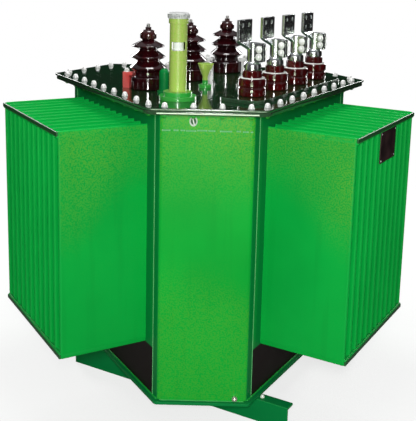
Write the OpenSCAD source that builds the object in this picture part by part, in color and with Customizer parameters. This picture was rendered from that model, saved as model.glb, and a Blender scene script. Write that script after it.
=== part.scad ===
// Three-sided oil-filled distribution transformer with a wound core.
// The tank is a hexagon in plan: three long faces carry corrugated fin walls and
// three short faces are bent corner plates. +X is the outward normal of the low
// voltage long face and +Z is up. The ground is z = 0 and the origin lies below
// the middle of the bounding box. Lengths are millimetres.

/* [Tank] */
// Distance from the tank axis to the outside of a long face
tank_long_apothem = 384; // [360:1:410]
// Distance from the tank axis to the outside of a short corner face
tank_short_apothem = 514; // [490:1:540]
// Plate thickness of the corner walls
wall_t = 6; // [4:0.5:10]
// Outside bend radius of the corner walls
corner_r = 18; // [10:1:30]
// Reach of each corner wall along the long faces
corner_flange = 36; // [25:1:45]

/* [Fin walls] */
// Number of hollow fins on each long face
fin_count = 12; // [8:1:12]
// Spacing of the fins
fin_pitch = 50; // [40:1:54]
// Reach of the fins from the long face
fin_depth = 298; // [150:1:340]
// Thickness of one hollow fin
fin_t = 11; // [9:0.5:16]
// Thickness of the folded sheet
fin_sheet = 2; // [1.5:0.1:3]
// Height of the fins
fin_h = 742; // [500:1:900]
// Height of the flat wall below the fins
fin_low = 170; // [100:1:220]
// Height of the flat wall above the fins
fin_top = 58; // [40:1:100]
// Height over which each fin end is pressed together
crimp_h = 18; // [8:1:40]
// Thickness of a pressed fin end
crimp_t = 6.5; // [6.5:0.1:8]

/* [Fin bars] */
// Height of the flat bars welded across the fin tips
bar_h = 14; // [10:1:15]
// Thickness of the bars
bar_t = 6; // [3:0.5:10]
// Distance of the bars from the fin ends
bar_inset = 1; // [0:0.5:2]

/* [Rim and lid] */
// Overhang of rim and lid beyond the tank walls
rim_overhang = 63; // [45:1:75]
// Width by which the rim reaches inside the walls' outer face
rim_reach = 34; // [20:1:60]
// Thickness of the tank rim
rim_t = 10; // [8:1:18]
// Thickness of the lid gasket
gasket_t = 2; // [1.5:0.5:6]
// Distance of the gasket's edge from the lid's edge
gasket_inset = 4; // [2:0.5:12]
// Thickness of the lid plate
lid_t = 8; // [6:1:16]
// Corner radius of the lid
lid_r = 14; // [8:1:30]
// Corner radius of the tank rim's outer edge
rim_r = 50; // [14:1:70]

/* [Filling] */
// Free height between the filling and the lid
filling_drop = 40; // [20:1:120]
// Fitting gap between the filling and the tank walls
filling_gap = 0.3; // [0.2:0.1:2]

/* [Base] */
// Overhang of the base plate beyond the tank walls
base_overhang = 15; // [8:1:30]
// Thickness of the base plate
base_t = 10; // [8:1:16]
// Height of the foot channels
channel_h = 80; // [65:1:120]
// Flange width of the foot channels
channel_w = 43; // [38:1:60]
// Web thickness of the foot channels
channel_web = 6; // [5:0.5:8]
// Flange thickness of the foot channels
channel_flange = 8; // [6:0.5:11]
// Length of the foot channels
channel_len = 888; // [800:1:1000]
// Distance of the channels' middle from the tank axis, towards the low voltage face
channel_mid = 68; // [40:1:100]
// Distance between the outer faces of the two channel webs
channel_span = 640; // [560:1:700]
// Diameter of the foot holes
foot_hole_d = 18; // [12:1:22]
// Distance of the foot holes from the channel ends
foot_hole_inset = 40; // [25:1:80]
// Distance of the foot holes from the web's outer face
foot_hole_gauge = 25; // [22:0.5:28]

/* [Low voltage side] */
// Distance of the low voltage row from the tank axis
lv_row = 304; // [280:1:320]
// Spacing of the low voltage bushings
lv_pitch = 165; // [140:1:180]
// Width of the raised bushing pad
lv_pad_w = 156; // [130:1:165]
// Distance of the pad's ends from the outer bushings' axes
lv_pad_end = 100; // [70:1:105]
// Corner radius of the pad
lv_pad_r = 42; // [20:1:60]
// Thickness of the pad
lv_pad_t = 12; // [8:1:20]
// Radius of the porcelain's foot
lv_foot_r = 46; // [40:1:56]
// Height of the porcelain's foot
lv_foot_h = 58; // [40:1:70]
// Radius of the porcelain's neck
lv_neck_r = 32; // [30:1:36]
// Height of the porcelain's neck
lv_neck_h = 26; // [20:1:40]
// Radius of the metal cap's skirt on the porcelain
lv_cap_r = 29; // [26:1:34]
// Height of the metal cap
lv_cap_h = 27; // [20:1:36]
// Height of the cap's skirt
lv_cap_skirt_h = 8; // [4:1:14]

/* [Low voltage terminals] */
// Radius of the clamp's barrel around the bushing stud
barrel_r = 19; // [15:0.5:23]
// Height of the clamp
clamp_h = 60; // [50:1:70]
// Reach of the clamp's ear from the bushing axis
ear_reach = 38; // [32:1:46]
// Width of the ear along the row
ear_w = 30; // [24:1:34]
// Width of the saw cut that lets the clamp close
ear_slot = 4; // [2:0.5:8]
// Height of the curved neck between clamp and palm
neck_h = 34; // [28:1:44]
// Width of the neck at the clamp
neck_w = 34; // [26:1:36]
// Distance of the palm plate from the bushing axis
palm_offset = 33; // [20:1:40]
// Thickness of neck and palm
palm_t = 11; // [8:0.5:14]
// Width of the palm plate along the row
palm_w = 86; // [74:1:100]
// Height of the palm plate
palm_h = 68; // [60:1:100]
// Height of the palm's lower edge above the clamp
palm_rise = 4; // [0:1:12]
// Spacing of the palm holes along the row
palm_hole_x = 44; // [34:1:48]
// Vertical spacing of the palm holes
palm_hole_z = 34; // [28:1:36]
// Diameter of the palm holes
palm_hole_d = 13; // [9:0.5:18]

/* [High voltage side] */
// Distance of the high voltage row from the tank axis, away from the low voltage face
hv_row = 84; // [60:1:110]
// Spacing of the high voltage bushings
hv_pitch = 275; // [250:1:290]
// Radius of the porcelain's foot
hv_foot_r = 61; // [54:1:66]
// Height of the porcelain's foot
hv_foot_h = 44; // [36:1:46]
// Radius of the porcelain's body above the foot
hv_body_r = 47; // [42:1:50]
// Radius of the porcelain's neck below the cap
hv_neck_r = 19; // [15:1:23]
// Height of the porcelain
hv_porcelain_h = 170; // [164:1:190]
// Radius of the lowest shed
hv_shed_low_r = 63; // [58:1:70]
// Radius of the top shed
hv_shed_top_r = 56; // [50:1:64]
// Height of the lowest shed's rim
hv_shed_low_z = 71; // [66:1:74]
// Spacing of the three sheds
hv_shed_pitch = 37; // [34:0.5:38]
// Thickness of a shed at its rim
hv_shed_t = 5; // [4:0.5:7]
// Rounding of a shed's rim
hv_shed_round = 1.5; // [1:0.1:2.5]
// Drop from a shed's rim to the body below it
hv_shed_drop = 11; // [8:0.5:13]
// Reach of the fillet under a shed
hv_shed_fillet = 6; // [3:0.5:8]
// Radius of the body below the top shed
hv_waist_r = 29; // [25:1:34]
// Bevel at the porcelain's upper edge
hv_neck_bevel = 4; // [2:0.5:5]
// Bevel at the edges of porcelain feet and necks
edge = 4; // [2:0.5:5]

/* [High voltage caps and clamps] */
// Radius of the domed cap
cap_r = 28; // [24:1:32]
// Height of the cap's skirt
cap_skirt_h = 12; // [8:1:20]
// Height of the cap's dome
cap_dome_h = 20; // [12:1:24]
// Diameter of the terminal stud
stud_d = 12; // [8:0.5:16]
// Length of the stud above the cap
stud_h = 11; // [8:1:40]
// Across-corners size of the nut under the stud
stud_nut_d = 22; // [18:0.5:26]
// Height of that nut
stud_nut_h = 9; // [6:0.5:12]
// Thickness of a clamp's arm
clamp_t = 11; // [6:0.5:14]
// Thickness of a clamp's leg
clamp_leg = 24; // [10:1:30]
// Width of a clamp
clamp_w = 28; // [18:1:34]
// Overlap of a clamp's arm on the porcelain foot
clamp_grip = 10; // [6:0.5:12]
// Direction of the first clamp about its bushing
clamp_turn = 20; // [0:1:60]
// Fitting gap between a clamp's leg and the porcelain
clamp_gap = 1; // [0.5:0.1:2]

/* [Filler pipe] */
// Distance of the pipe's axis inside the front corner wall's face
filler_in = 113; // [100:1:130]
// Distance of the pipe's axis from the middle of the front corner wall
filler_shift = -99; // [-110:1:-85]
// Outside diameter of the pipe
filler_d = 56; // [50:1:62]
// Wall of the pipe
filler_wall = 4; // [3:0.5:6]
// Height of the pipe above its flange
filler_h = 232; // [190:1:260]
// Diameter of the lower flange step
filler_flange_d = 120; // [110:1:136]
// Diameter of the upper flange step
filler_step_d = 92; // [80:1:104]
// Height of one flange step
filler_step_h = 13; // [8:1:18]
// Width of the level window
window_w = 43; // [36:1:44]
// Height of the level window
window_h = 27; // [18:1:40]
// Height of the window's middle above the flange
window_z = 145; // [120:1:150]
// Direction that the window faces, the front corner
window_turn = -60; // [-80:1:-40]
// Outside diameter of the sight glass between its seats
glass_d = 34; // [28:1:38]
// Wall of the sight glass
glass_wall = 4; // [3:0.5:6]
// Height of the sight glass's seat above and below the window
glass_lap = 8; // [5:1:20]
// Fitting gap around the sight glass's seats
glass_gap = 0.3; // [0.2:0.05:0.5]
// Diameter of the collar at the pipe's top
collar_d = 63; // [62:1:80]
// Height of the collar
collar_h = 16; // [12:1:30]
// Diameter of the filler cap
filler_cap_d = 70; // [60:1:76]
// Height of the filler cap
filler_cap_h = 18; // [14:1:30]

/* [Tap changer] */
// Place of the tap changer towards the low voltage face
tap_x = 58; // [50:1:70]
// Place of the tap changer along the low voltage face
tap_y = -128; // [-138:1:-118]
// Diameter of the foot
tap_foot_d = 46; // [38:1:54]
// Height of the foot
tap_foot_h = 10; // [6:1:14]
// Diameter of the stem
tap_stem_d = 20; // [14:1:26]
// Height of the stem
tap_stem_h = 30; // [20:1:40]
// Diameter of the flared knob at its top
tap_knob_d = 58; // [50:1:66]
// Height of the knob
tap_knob_h = 44; // [30:1:54]
// Number of finger hollows in the knob
tap_lobes = 5; // [4:1:7]
// Diameter of a finger hollow
tap_hollow_d = 26; // [18:1:30]

/* [Thermometer pocket] */
// Place of the pocket towards the low voltage face
pocket_x = 14; // [10:1:22]
// Place of the pocket along the low voltage face
pocket_y = -322; // [-330:1:-318]
// Diameter of the pocket
pocket_d = 34; // [28:1:38]
// Height of the pocket below its domed top
pocket_h = 66; // [44:1:80]
// Diameter of the foot
pocket_foot_d = 46; // [42:1:50]
// Height of the foot
pocket_foot_h = 8; // [6:1:12]

/* [Plates and fittings] */
// Width of the plain rating plate
plate_w = 148; // [120:1:200]
// Height of the plate
plate_h = 105; // [90:1:180]
// Thickness of the plate
plate_t = 3; // [1.5:0.5:5]
// Place of the plate's middle along the low voltage face
plate_y = 14; // [-60:1:80]
// Distance of the plate's top from the fins' upper ends
plate_drop = 18; // [17:1:120]
// Height of the oval plug at the front corner
plug_d = 32; // [22:1:40]
// Width of the plug over its height
plug_stretch = 0.8; // [0.6:0.05:1.6]
// Reach of the plug
plug_reach = 8; // [5:1:14]
// Distance of the plug from the middle of the corner wall
plug_shift = -44; // [-90:1:90]
// Distance of the plug below the rim
plug_drop = 29; // [21:1:60]
// Diameter of the earth terminal's boss
earth_d = 18; // [16:1:24]
// Reach of the boss
earth_reach = 10; // [8:1:14]
// Distance of the earth terminal from the corner wall's bend
earth_edge = 38; // [32:1:100]
// Height of the boss's middle above the base plate
earth_z = 13; // [13:1:40]
// Diameter of the threaded hole in the boss
earth_hole_d = 8; // [5:0.5:10]

/* [Hidden] */
$fn = 48;
// Cutting tools pass this far through a face
over = 2;
// The long faces lie at these angles, the short faces half way between
face_angle = 120;
lv_angle = 0;
back_angle = face_angle;
left_angle = 2 * face_angle;
front_corner_angle = -face_angle / 2;
right_corner_angle = face_angle / 2;
left_corner_angle = 180;

base_z = channel_h;
wall_h = fin_low + fin_h + fin_top;
wall_z = base_z + base_t;
rim_z = wall_z + wall_h;
gasket_z = rim_z + rim_t;
lid_z = gasket_z + gasket_t;
top_z = lid_z + lid_t;
pad_z = top_z + lv_pad_t;
fin_z = wall_z + fin_low;

bank_half = ((fin_count - 1) * fin_pitch + fin_t) / 2;
tip_x = tank_long_apothem + fin_depth;
bar_x = tip_x + bar_t;
long_half = half_face(tank_long_apothem, tank_short_apothem);
short_half = half_face(tank_short_apothem, tank_long_apothem);
seam_y = long_half - corner_flange;

// The box runs from the fin bars' or lid's far edge to the low voltage bars
box_min_x = -max(bar_x * cos(60) + bank_half * sin(60), tank_short_apothem + rim_overhang);
shift_x = -(bar_x + box_min_x) / 2;

// Shares of the curved neck's height at which its outline has points
neck_shares = [for (i = [0:12]) i / 12];
lv_places = [for (i = [-1.5:1:1.5]) [lv_row, i * lv_pitch]];
hv_places = [for (i = [-1:1:1]) [-hv_row, i * hv_pitch]];
filler_place = turned([tank_short_apothem - filler_in, filler_shift], front_corner_angle);

// Half the length of a long face of a hexagon with these two apothems
function half_face(long_a, short_a) = (short_a - long_a * cos(60)) / sin(60);

function turned(p, a) = [p.x * cos(a) - p.y * sin(a), p.x * sin(a) + p.y * cos(a)];

// Corners of the hexagon, two at the ends of each long face
function hexagon(long_a, short_a) = [
  for (face = [0:2], side = [-1, 1])
    turned([long_a, side * half_face(long_a, short_a)], face * face_angle)
];

// Hexagon outline with rounded corners; grow moves every face outwards
module outline(grow, r) {
  offset(r = r)
    polygon(hexagon(tank_long_apothem + grow - r, tank_short_apothem + grow - r));
}

// Moves a piece from the tank axis to the part's origin
module placed(z = 0) {
  translate([shift_x, 0, z]) children();
}

// Moves a piece that stands on the lid to its place there
module on_lid(p, z = top_z) {
  translate([shift_x + p.x, p.y, z]) children();
}

// Rolled channel along X, web on the outer side of the given sign
module base_channel(side) {
  outer = side * channel_span / 2;
  hole_y = outer - side * foot_hole_gauge;
  color("darkgreen")
    difference() {
      placed()
        translate([channel_mid - channel_len / 2, 0, 0])
          rotate([90, 0, 90])
            linear_extrude(channel_len)
              difference() {
                translate([min(outer, outer - side * channel_w), 0])
                  square([channel_w, channel_h]);
                translate([
                  min(outer - side * channel_web, outer - side * (channel_w + over)),
                  channel_flange
                ])
                  square([channel_w + over - channel_web, channel_h - 2 * channel_flange]);
              }
      for (end = [-1, 1])
        placed(-over)
          translate([channel_mid + end * (channel_len / 2 - foot_hole_inset), hole_y, 0])
            cylinder(d = foot_hole_d, h = channel_flange + 2 * over);
    }
}

module base_plate() {
  color("darkgreen")
    placed(base_z)
      linear_extrude(base_t)
        outline(base_overhang, corner_r);
}

// Bent plate that closes one short face and laps round onto two long faces
module corner_wall(angle) {
  reach = tank_short_apothem + rim_overhang;
  seam_x = tank_short_apothem - corner_flange * sin(60);
  seam_half = short_half + corner_flange * cos(60);
  // The two ends are cut square to the long faces, so the cuts meet at this apex
  apex_x = seam_x - seam_half / tan(60);
  wedge_half = (reach - apex_x) * tan(60);
  color("limegreen")
    placed(wall_z)
      linear_extrude(wall_h)
        intersection() {
          difference() {
            outline(0, corner_r);
            outline(-wall_t, corner_r - wall_t);
          }
          rotate(angle)
            polygon([[apex_x, 0], [reach, -wedge_half], [reach, wedge_half]]);
        }
}

// Plan of one fin, from the wall outwards with a round tip
module fin_plan(t, back, tip) {
  translate([-back, -t / 2])
    square([tip - t / 2 + back, t]);
  translate([tip - t / 2, 0])
    circle(d = t, $fn = 16);
}

// Front view of one fin, both ends pressed together
module fin_front(t, end_t, z0, z1, press_h) {
  polygon([
    [-end_t / 2, z0], [end_t / 2, z0], [t / 2, z0 + press_h], [t / 2, z1 - press_h],
    [end_t / 2, z1], [-end_t / 2, z1], [-t / 2, z1 - press_h], [-t / 2, z0 + press_h]
  ]);
}

// One fin, or the hollow inside it when skin is the sheet thickness
module fin(skin, back) {
  t = fin_t - 2 * skin;
  end_t = crimp_t - 2 * skin;
  z0 = fin_low + skin;
  z1 = fin_low + fin_h - skin;
  intersection() {
    translate([0, 0, z0])
      linear_extrude(z1 - z0)
        fin_plan(t, back, fin_depth - skin);
    translate([-back, 0, 0])
      rotate([90, 0, 90])
        linear_extrude(back + fin_depth)
          fin_front(t, end_t, z0, z1, crimp_h);
  }
}

// Folded sheet between two corner walls: a flat margin all round and hollow fins
module fin_wall(angle) {
  fin_rows = [for (i = [0:fin_count - 1]) (i - (fin_count - 1) / 2) * fin_pitch];
  color("seagreen")
    placed(wall_z)
      rotate(angle)
        translate([tank_long_apothem, 0, 0])
          difference() {
            union() {
              translate([-fin_sheet, -seam_y, 0])
                cube([fin_sheet, 2 * seam_y, wall_h]);
              for (y = fin_rows)
                translate([0, y, 0]) fin(0, fin_sheet / 2);
            }
            for (y = fin_rows)
              translate([0, y, 0]) fin(fin_sheet, fin_sheet + over);
          }
}

// Flat bar across the fin tips of one bank
module fin_bar(angle, z) {
  color("darkslategray")
    placed(z)
      rotate(angle)
        translate([tip_x, -bank_half, 0])
          cube([bar_t, 2 * bank_half, bar_h]);
}

module fin_bar_top(angle) {
  fin_bar(angle, fin_z + fin_h - bar_inset - bar_h);
}

module fin_bar_low(angle) {
  fin_bar(angle, fin_z + bar_inset);
}

module tank_rim() {
  color("green")
    placed(rim_z)
      linear_extrude(rim_t)
        difference() {
          outline(rim_overhang, rim_r);
          outline(-rim_reach, lid_r);
        }
}

module lid_gasket() {
  color("dimgray")
    placed(gasket_z)
      linear_extrude(gasket_t)
        difference() {
          outline(rim_overhang - gasket_inset, rim_r - gasket_inset / 2);
          outline(gasket_inset - rim_reach, lid_r);
        }
}

module lid_plate() {
  color("darkgreen")
    placed(lid_z)
      linear_extrude(lid_t)
        outline(rim_overhang, lid_r);
}

// Oil with the core and coils in it, which fills the sealed tank as one mass
module tank_filling() {
  color("goldenrod")
    placed(wall_z)
      linear_extrude(lid_z - wall_z - filling_drop)
        outline(-wall_t - filling_gap, corner_r - wall_t);
}

// Raised pad under the four low voltage bushings
module lv_pad() {
  half_len = 1.5 * lv_pitch + lv_pad_end - lv_pad_r;
  half_w = lv_pad_w / 2 - lv_pad_r;
  color("green")
    on_lid([lv_row, 0])
      linear_extrude(lv_pad_t)
        offset(r = lv_pad_r)
          square([2 * half_w, 2 * half_len], center = true);
}

// Porcelain of one low voltage bushing, a broad foot and a stepped neck
module lv_bushing(i) {
  neck_z = lv_foot_h + lv_neck_h;
  groove_z = lv_foot_h / 2;
  color("brown")
    on_lid(lv_places[i], pad_z)
      rotate_extrude()
        polygon([
          [0, 0], [lv_foot_r - edge, 0], [lv_foot_r, edge],
          [lv_foot_r, groove_z - edge], [lv_foot_r - edge, groove_z],
          [lv_foot_r, groove_z + edge], [lv_foot_r, lv_foot_h - edge],
          [lv_foot_r - edge, lv_foot_h], [lv_neck_r + edge, lv_foot_h],
          [lv_neck_r, lv_foot_h + edge], [lv_neck_r, neck_z - edge],
          [lv_neck_r - edge, neck_z], [0, neck_z]
        ]);
}

// Place of the neck's middle line at a share of its height, and half its level width there
function neck_x(share) = -palm_offset * (1 - cos(180 * share)) / 2;
function neck_half(share) =
  palm_t / 2 * sqrt(1 + pow(palm_offset * PI / (2 * neck_h) * sin(180 * share), 2));

// Side view of the neck, an S-curve of even thickness from clamp to palm
module neck_side(z0) {
  polygon(concat(
    [for (s = neck_shares) [neck_x(s) + neck_half(s), z0 + neck_h * s]],
    [for (i = [len(neck_shares) - 1:-1:0])
      [neck_x(neck_shares[i]) - neck_half(neck_shares[i]), z0 + neck_h * neck_shares[i]]]
  ));
}

// Front view of the neck, flaring from the clamp to the palm
module neck_front(z0) {
  half = [for (s = neck_shares) (neck_w + (palm_w - neck_w) * s * s) / 2];
  polygon(concat(
    [for (i = [0:len(half) - 1]) [half[i], z0 + neck_h * neck_shares[i]]],
    [for (i = [len(half) - 1:-1:0]) [-half[i], z0 + neck_h * neck_shares[i]]]
  ));
}

// Bell cap, split clamp, curved neck and drilled palm of one low voltage terminal
module lv_terminal(i) {
  palm_z = lv_cap_h + clamp_h + palm_rise;
  neck_z = palm_z - neck_h;
  color("silver")
    on_lid(lv_places[i], pad_z + lv_foot_h + lv_neck_h)
      difference() {
        union() {
          rotate_extrude()
            polygon(concat(
              [[0, 0], [lv_cap_r, 0]],
              [for (a = [0:15:90]) [
                barrel_r + (lv_cap_r - barrel_r) * cos(a),
                lv_cap_skirt_h + (lv_cap_h - lv_cap_skirt_h) * sin(a)
              ]],
              [[0, lv_cap_h]]
            ));
          translate([0, 0, lv_cap_h])
            cylinder(r = barrel_r, h = clamp_h);
          translate([0, -ear_w / 2, lv_cap_h])
            cube([ear_reach, ear_w, clamp_h]);
          intersection() {
            translate([0, palm_w / 2, 0])
              rotate([90, 0, 0])
                linear_extrude(palm_w)
                  neck_side(neck_z);
            translate([-palm_offset - palm_t, 0, 0])
              rotate([90, 0, 90])
                linear_extrude(palm_offset + 2 * palm_t)
                  neck_front(neck_z);
          }
          translate([-palm_offset - palm_t / 2, -palm_w / 2, palm_z])
            cube([palm_t, palm_w, palm_h]);
        }
        translate([0, -ear_slot / 2, lv_cap_h - over])
          cube([ear_reach + over, ear_slot, clamp_h + 2 * over]);
        for (y = [-1, 1], z = [-1, 1])
          translate([
            -palm_offset - palm_t, y * palm_hole_x / 2, palm_z + palm_h / 2 + z * palm_hole_z / 2
          ])
            rotate([0, 90, 0])
              cylinder(d = palm_hole_d, h = 2 * palm_t);
      }
}

// Rim, underside and root of one shed, from the top down
function shed(r, z, root_r) = [
  [r - hv_shed_round, z + hv_shed_t], [r, z + hv_shed_t / 2], [r - hv_shed_round, z],
  [root_r + hv_shed_fillet, z - hv_shed_drop / 2], [root_r, z - hv_shed_drop]
];

// Porcelain of one high voltage bushing with three sheds on a tapering body
module hv_bushing(i) {
  shed_r = [for (k = [0:2]) hv_shed_low_r + (hv_shed_top_r - hv_shed_low_r) * k / 2];
  root_r = [for (k = [0:2]) hv_body_r + (hv_waist_r - hv_body_r) * k / 2];
  shed_z = [for (k = [0:2]) hv_shed_low_z + k * hv_shed_pitch];
  color("saddlebrown")
    on_lid(hv_places[i])
      rotate_extrude()
        polygon(concat(
          [
            [0, hv_porcelain_h], [hv_neck_r, hv_porcelain_h],
            [hv_neck_r + hv_neck_bevel, hv_porcelain_h - hv_neck_bevel]
          ],
          [for (k = [2:-1:0]) each shed(shed_r[k], shed_z[k], root_r[k])],
          [
            [hv_body_r, hv_foot_h + edge], [hv_body_r + edge, hv_foot_h],
            [hv_foot_r - edge, hv_foot_h], [hv_foot_r, hv_foot_h - edge],
            [hv_foot_r, edge], [hv_foot_r - edge, 0], [0, 0]
          ]
        ));
}

// Domed cap with nut and terminal stud
module hv_cap(i) {
  seat_r = stud_nut_d / 2;
  dome_z = cap_skirt_h;
  nut_z = cap_skirt_h + cap_dome_h;
  color("darkred")
    on_lid(hv_places[i], top_z + hv_porcelain_h) {
      rotate_extrude()
        polygon(concat(
          [[0, 0], [cap_r - edge, 0], [cap_r, edge]],
          [for (a = [0:15:75]) [seat_r + (cap_r - seat_r) * cos(a), dome_z + cap_dome_h * sin(a)]],
          [[seat_r, nut_z], [0, nut_z]]
        ));
      translate([0, 0, nut_z])
        cylinder(d = stud_nut_d, h = stud_nut_h, $fn = 6);
      translate([0, 0, nut_z])
        cylinder(d = stud_d, h = stud_nut_h + stud_h);
    }
}

// Two L-shaped clamps that hold one bushing's foot down on the lid
module hv_clamp(i) {
  leg_x = hv_foot_r + clamp_gap;
  arm_x = hv_foot_r - clamp_grip;
  color("indianred")
    on_lid(hv_places[i])
      for (a = [0, 180])
        rotate(clamp_turn + a)
          translate([0, clamp_w / 2, 0])
            rotate([90, 0, 0])
              linear_extrude(clamp_w)
                polygon([
                  [leg_x, 0], [leg_x + clamp_leg, 0], [leg_x + clamp_leg, hv_foot_h + clamp_t],
                  [arm_x, hv_foot_h + clamp_t], [arm_x, hv_foot_h], [leg_x, hv_foot_h]
                ]);
}

// Stepped flange and pipe with a level window on two sides
module filler_pipe() {
  flange_h = 2 * filler_step_h;
  pipe_top = flange_h + filler_h;
  color("yellowgreen")
    on_lid(filler_place)
      difference() {
        union() {
          cylinder(d = filler_flange_d, h = filler_step_h);
          cylinder(d = filler_step_d, h = flange_h);
          cylinder(d = filler_d, h = pipe_top);
          translate([0, 0, pipe_top - collar_h])
            cylinder(d = collar_d, h = collar_h);
        }
        translate([0, 0, flange_h])
          cylinder(d = filler_d - 2 * filler_wall, h = filler_h + over);
        rotate(window_turn)
          translate([0, 0, flange_h + window_z])
            cube([2 * filler_d, window_w, window_h], center = true);
      }
}

// Glass tube in the level window, held by a wider seat above and below
module filler_sight_glass() {
  seat_r = filler_d / 2 - filler_wall - glass_gap;
  glass_r = glass_d / 2;
  bore_r = glass_r - glass_wall;
  upper_z = glass_lap + window_h;
  glass_h = upper_z + glass_lap;
  color("white")
    on_lid(filler_place, top_z + 2 * filler_step_h + window_z - glass_h / 2)
      rotate_extrude()
        polygon([
          [bore_r, 0], [seat_r, 0], [seat_r, glass_lap], [glass_r, glass_lap],
          [glass_r, upper_z], [seat_r, upper_z], [seat_r, glass_h], [bore_r, glass_h]
        ]);
}

module filler_cap() {
  r = filler_cap_d / 2;
  color("lightgray")
    on_lid(filler_place, top_z + 2 * filler_step_h + filler_h)
      rotate_extrude()
        polygon([[0, 0], [r, 0], [r, filler_cap_h - edge], [r - edge, filler_cap_h], [0, filler_cap_h]]);
}

// Foot, stem and flared finger knob of the tap changer
module tap_changer() {
  stem_top = tap_foot_h + tap_stem_h;
  color("limegreen")
    on_lid([tap_x, tap_y]) {
      cylinder(d = tap_foot_d, h = tap_foot_h);
      cylinder(d = tap_stem_d, h = stem_top);
      difference() {
        translate([0, 0, stem_top])
          cylinder(d1 = tap_stem_d, d2 = tap_knob_d, h = tap_knob_h);
        for (i = [0:tap_lobes - 1])
          rotate(i * 360 / tap_lobes)
            translate([(tap_knob_d + tap_hollow_d) / 2 - tap_hollow_d / 3, 0, stem_top - over])
              cylinder(d = tap_hollow_d, h = tap_knob_h + 2 * over);
      }
    }
}

// Upright pocket with a domed top
module thermometer_pocket() {
  r = pocket_d / 2;
  color("green")
    on_lid([pocket_x, pocket_y])
      rotate_extrude()
        polygon(concat(
          [[0, 0], [pocket_foot_d / 2, 0], [pocket_foot_d / 2, pocket_foot_h], [r, pocket_foot_h]],
          [for (a = [0:15:90]) [r * cos(a), pocket_h + r * sin(a)]]
        ));
}

// Plain plate on the tips of the low voltage fins
module rating_plate() {
  color("black")
    placed(fin_z + fin_h - plate_drop - plate_h)
      translate([tip_x, plate_y - plate_w / 2, 0])
        cube([plate_t, plate_w, plate_h]);
}

// Oval plug below the rim on the front corner wall
module front_plug() {
  color("whitesmoke")
    placed(rim_z - plug_drop)
      rotate(front_corner_angle)
        translate([tank_short_apothem, plug_shift, 0])
          rotate([0, 90, 0])
            linear_extrude(plug_reach)
              scale([1, plug_stretch])
                circle(d = plug_d);
}

// Threaded boss near the foot of the front corner wall
module earth_terminal() {
  color("silver")
    placed(wall_z + earth_z)
      rotate(front_corner_angle)
        translate([tank_short_apothem, short_half - earth_edge, 0])
          rotate([0, 90, 0])
            difference() {
              cylinder(d = earth_d, h = earth_reach);
              translate([0, 0, earth_reach / 3])
                cylinder(d = earth_hole_d, h = earth_reach);
            }
}

base_channel(-1);  // base_channel_near
base_channel(1);  // base_channel_far
base_plate();
corner_wall(front_corner_angle);  // corner_wall_front
corner_wall(right_corner_angle);  // corner_wall_right
corner_wall(left_corner_angle);  // corner_wall_left
fin_wall(lv_angle);  // fin_wall_lv
fin_wall(left_angle);  // fin_wall_left
fin_wall(back_angle);  // fin_wall_back
fin_bar_top(lv_angle);  // fin_bar_lv_top
fin_bar_low(lv_angle);  // fin_bar_lv_low
fin_bar_top(left_angle);  // fin_bar_left_top
fin_bar_low(left_angle);  // fin_bar_left_low
fin_bar_top(back_angle);  // fin_bar_back_top
fin_bar_low(back_angle);  // fin_bar_back_low
tank_filling();
tank_rim();
lid_gasket();
lid_plate();
lv_pad();
lv_bushing(0);  // lv_bushing_1
lv_bushing(1);  // lv_bushing_2
lv_bushing(2);  // lv_bushing_3
lv_bushing(3);  // lv_bushing_4
lv_terminal(0);  // lv_terminal_1
lv_terminal(1);  // lv_terminal_2
lv_terminal(2);  // lv_terminal_3
lv_terminal(3);  // lv_terminal_4
hv_bushing(0);  // hv_bushing_1
hv_bushing(1);  // hv_bushing_2
hv_bushing(2);  // hv_bushing_3
hv_cap(0);  // hv_cap_1
hv_cap(1);  // hv_cap_2
hv_cap(2);  // hv_cap_3
hv_clamp(0);  // hv_clamp_1
hv_clamp(1);  // hv_clamp_2
hv_clamp(2);  // hv_clamp_3
filler_pipe();
filler_sight_glass();
filler_cap();
tap_changer();
thermometer_pocket();
rating_plate();
front_plug();
earth_terminal();
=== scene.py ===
"""Looks of a three-sided, oil-filled transformer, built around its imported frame.

The frame is in metres: +X points out of the low voltage long face and +Z up.
"""

import logging
import math
import random
from dataclasses import dataclass
from enum import Enum
from typing import Dict, List, Optional, Tuple, Union

import bmesh
import bpy
from mathutils import Matrix, Vector


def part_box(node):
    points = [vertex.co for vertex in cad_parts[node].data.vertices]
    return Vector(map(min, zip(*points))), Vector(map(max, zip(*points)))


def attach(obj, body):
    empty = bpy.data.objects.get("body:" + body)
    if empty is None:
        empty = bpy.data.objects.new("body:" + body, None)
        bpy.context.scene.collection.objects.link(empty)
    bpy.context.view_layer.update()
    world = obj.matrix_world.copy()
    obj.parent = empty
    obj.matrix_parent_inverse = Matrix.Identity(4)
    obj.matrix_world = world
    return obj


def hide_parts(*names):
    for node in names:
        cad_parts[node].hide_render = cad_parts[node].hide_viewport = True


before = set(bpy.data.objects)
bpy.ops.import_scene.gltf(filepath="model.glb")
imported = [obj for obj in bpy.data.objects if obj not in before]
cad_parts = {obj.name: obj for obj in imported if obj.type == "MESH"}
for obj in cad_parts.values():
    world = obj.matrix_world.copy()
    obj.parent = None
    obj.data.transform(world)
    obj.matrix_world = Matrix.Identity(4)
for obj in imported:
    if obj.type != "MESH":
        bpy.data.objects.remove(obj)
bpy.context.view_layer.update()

LOG = logging.getLogger("transformer")
BODY = "root"
MM = 0.001
SIN_60 = math.sin(math.radians(60))

Colour = Tuple[float, float, float]
Stretch = Tuple[float, float, float]
Span = Tuple[float, float]
Profile = List[Tuple[float, float]]
EVEN: Stretch = (1.0, 1.0, 1.0)
LEVEL: Stretch = (1.0, 1.0, 0.0)


class Side(Enum):
    """A side of the hexagonal tank; its value is the angle of its outward normal, in degrees."""

    @property
    def word(self) -> str:
        """The side's name as the nodes spell it."""
        return self.name.lower()


class Face(Side):
    """Long faces of the tank."""

    LV = 0
    BACK = 120
    LEFT = 240


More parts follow.
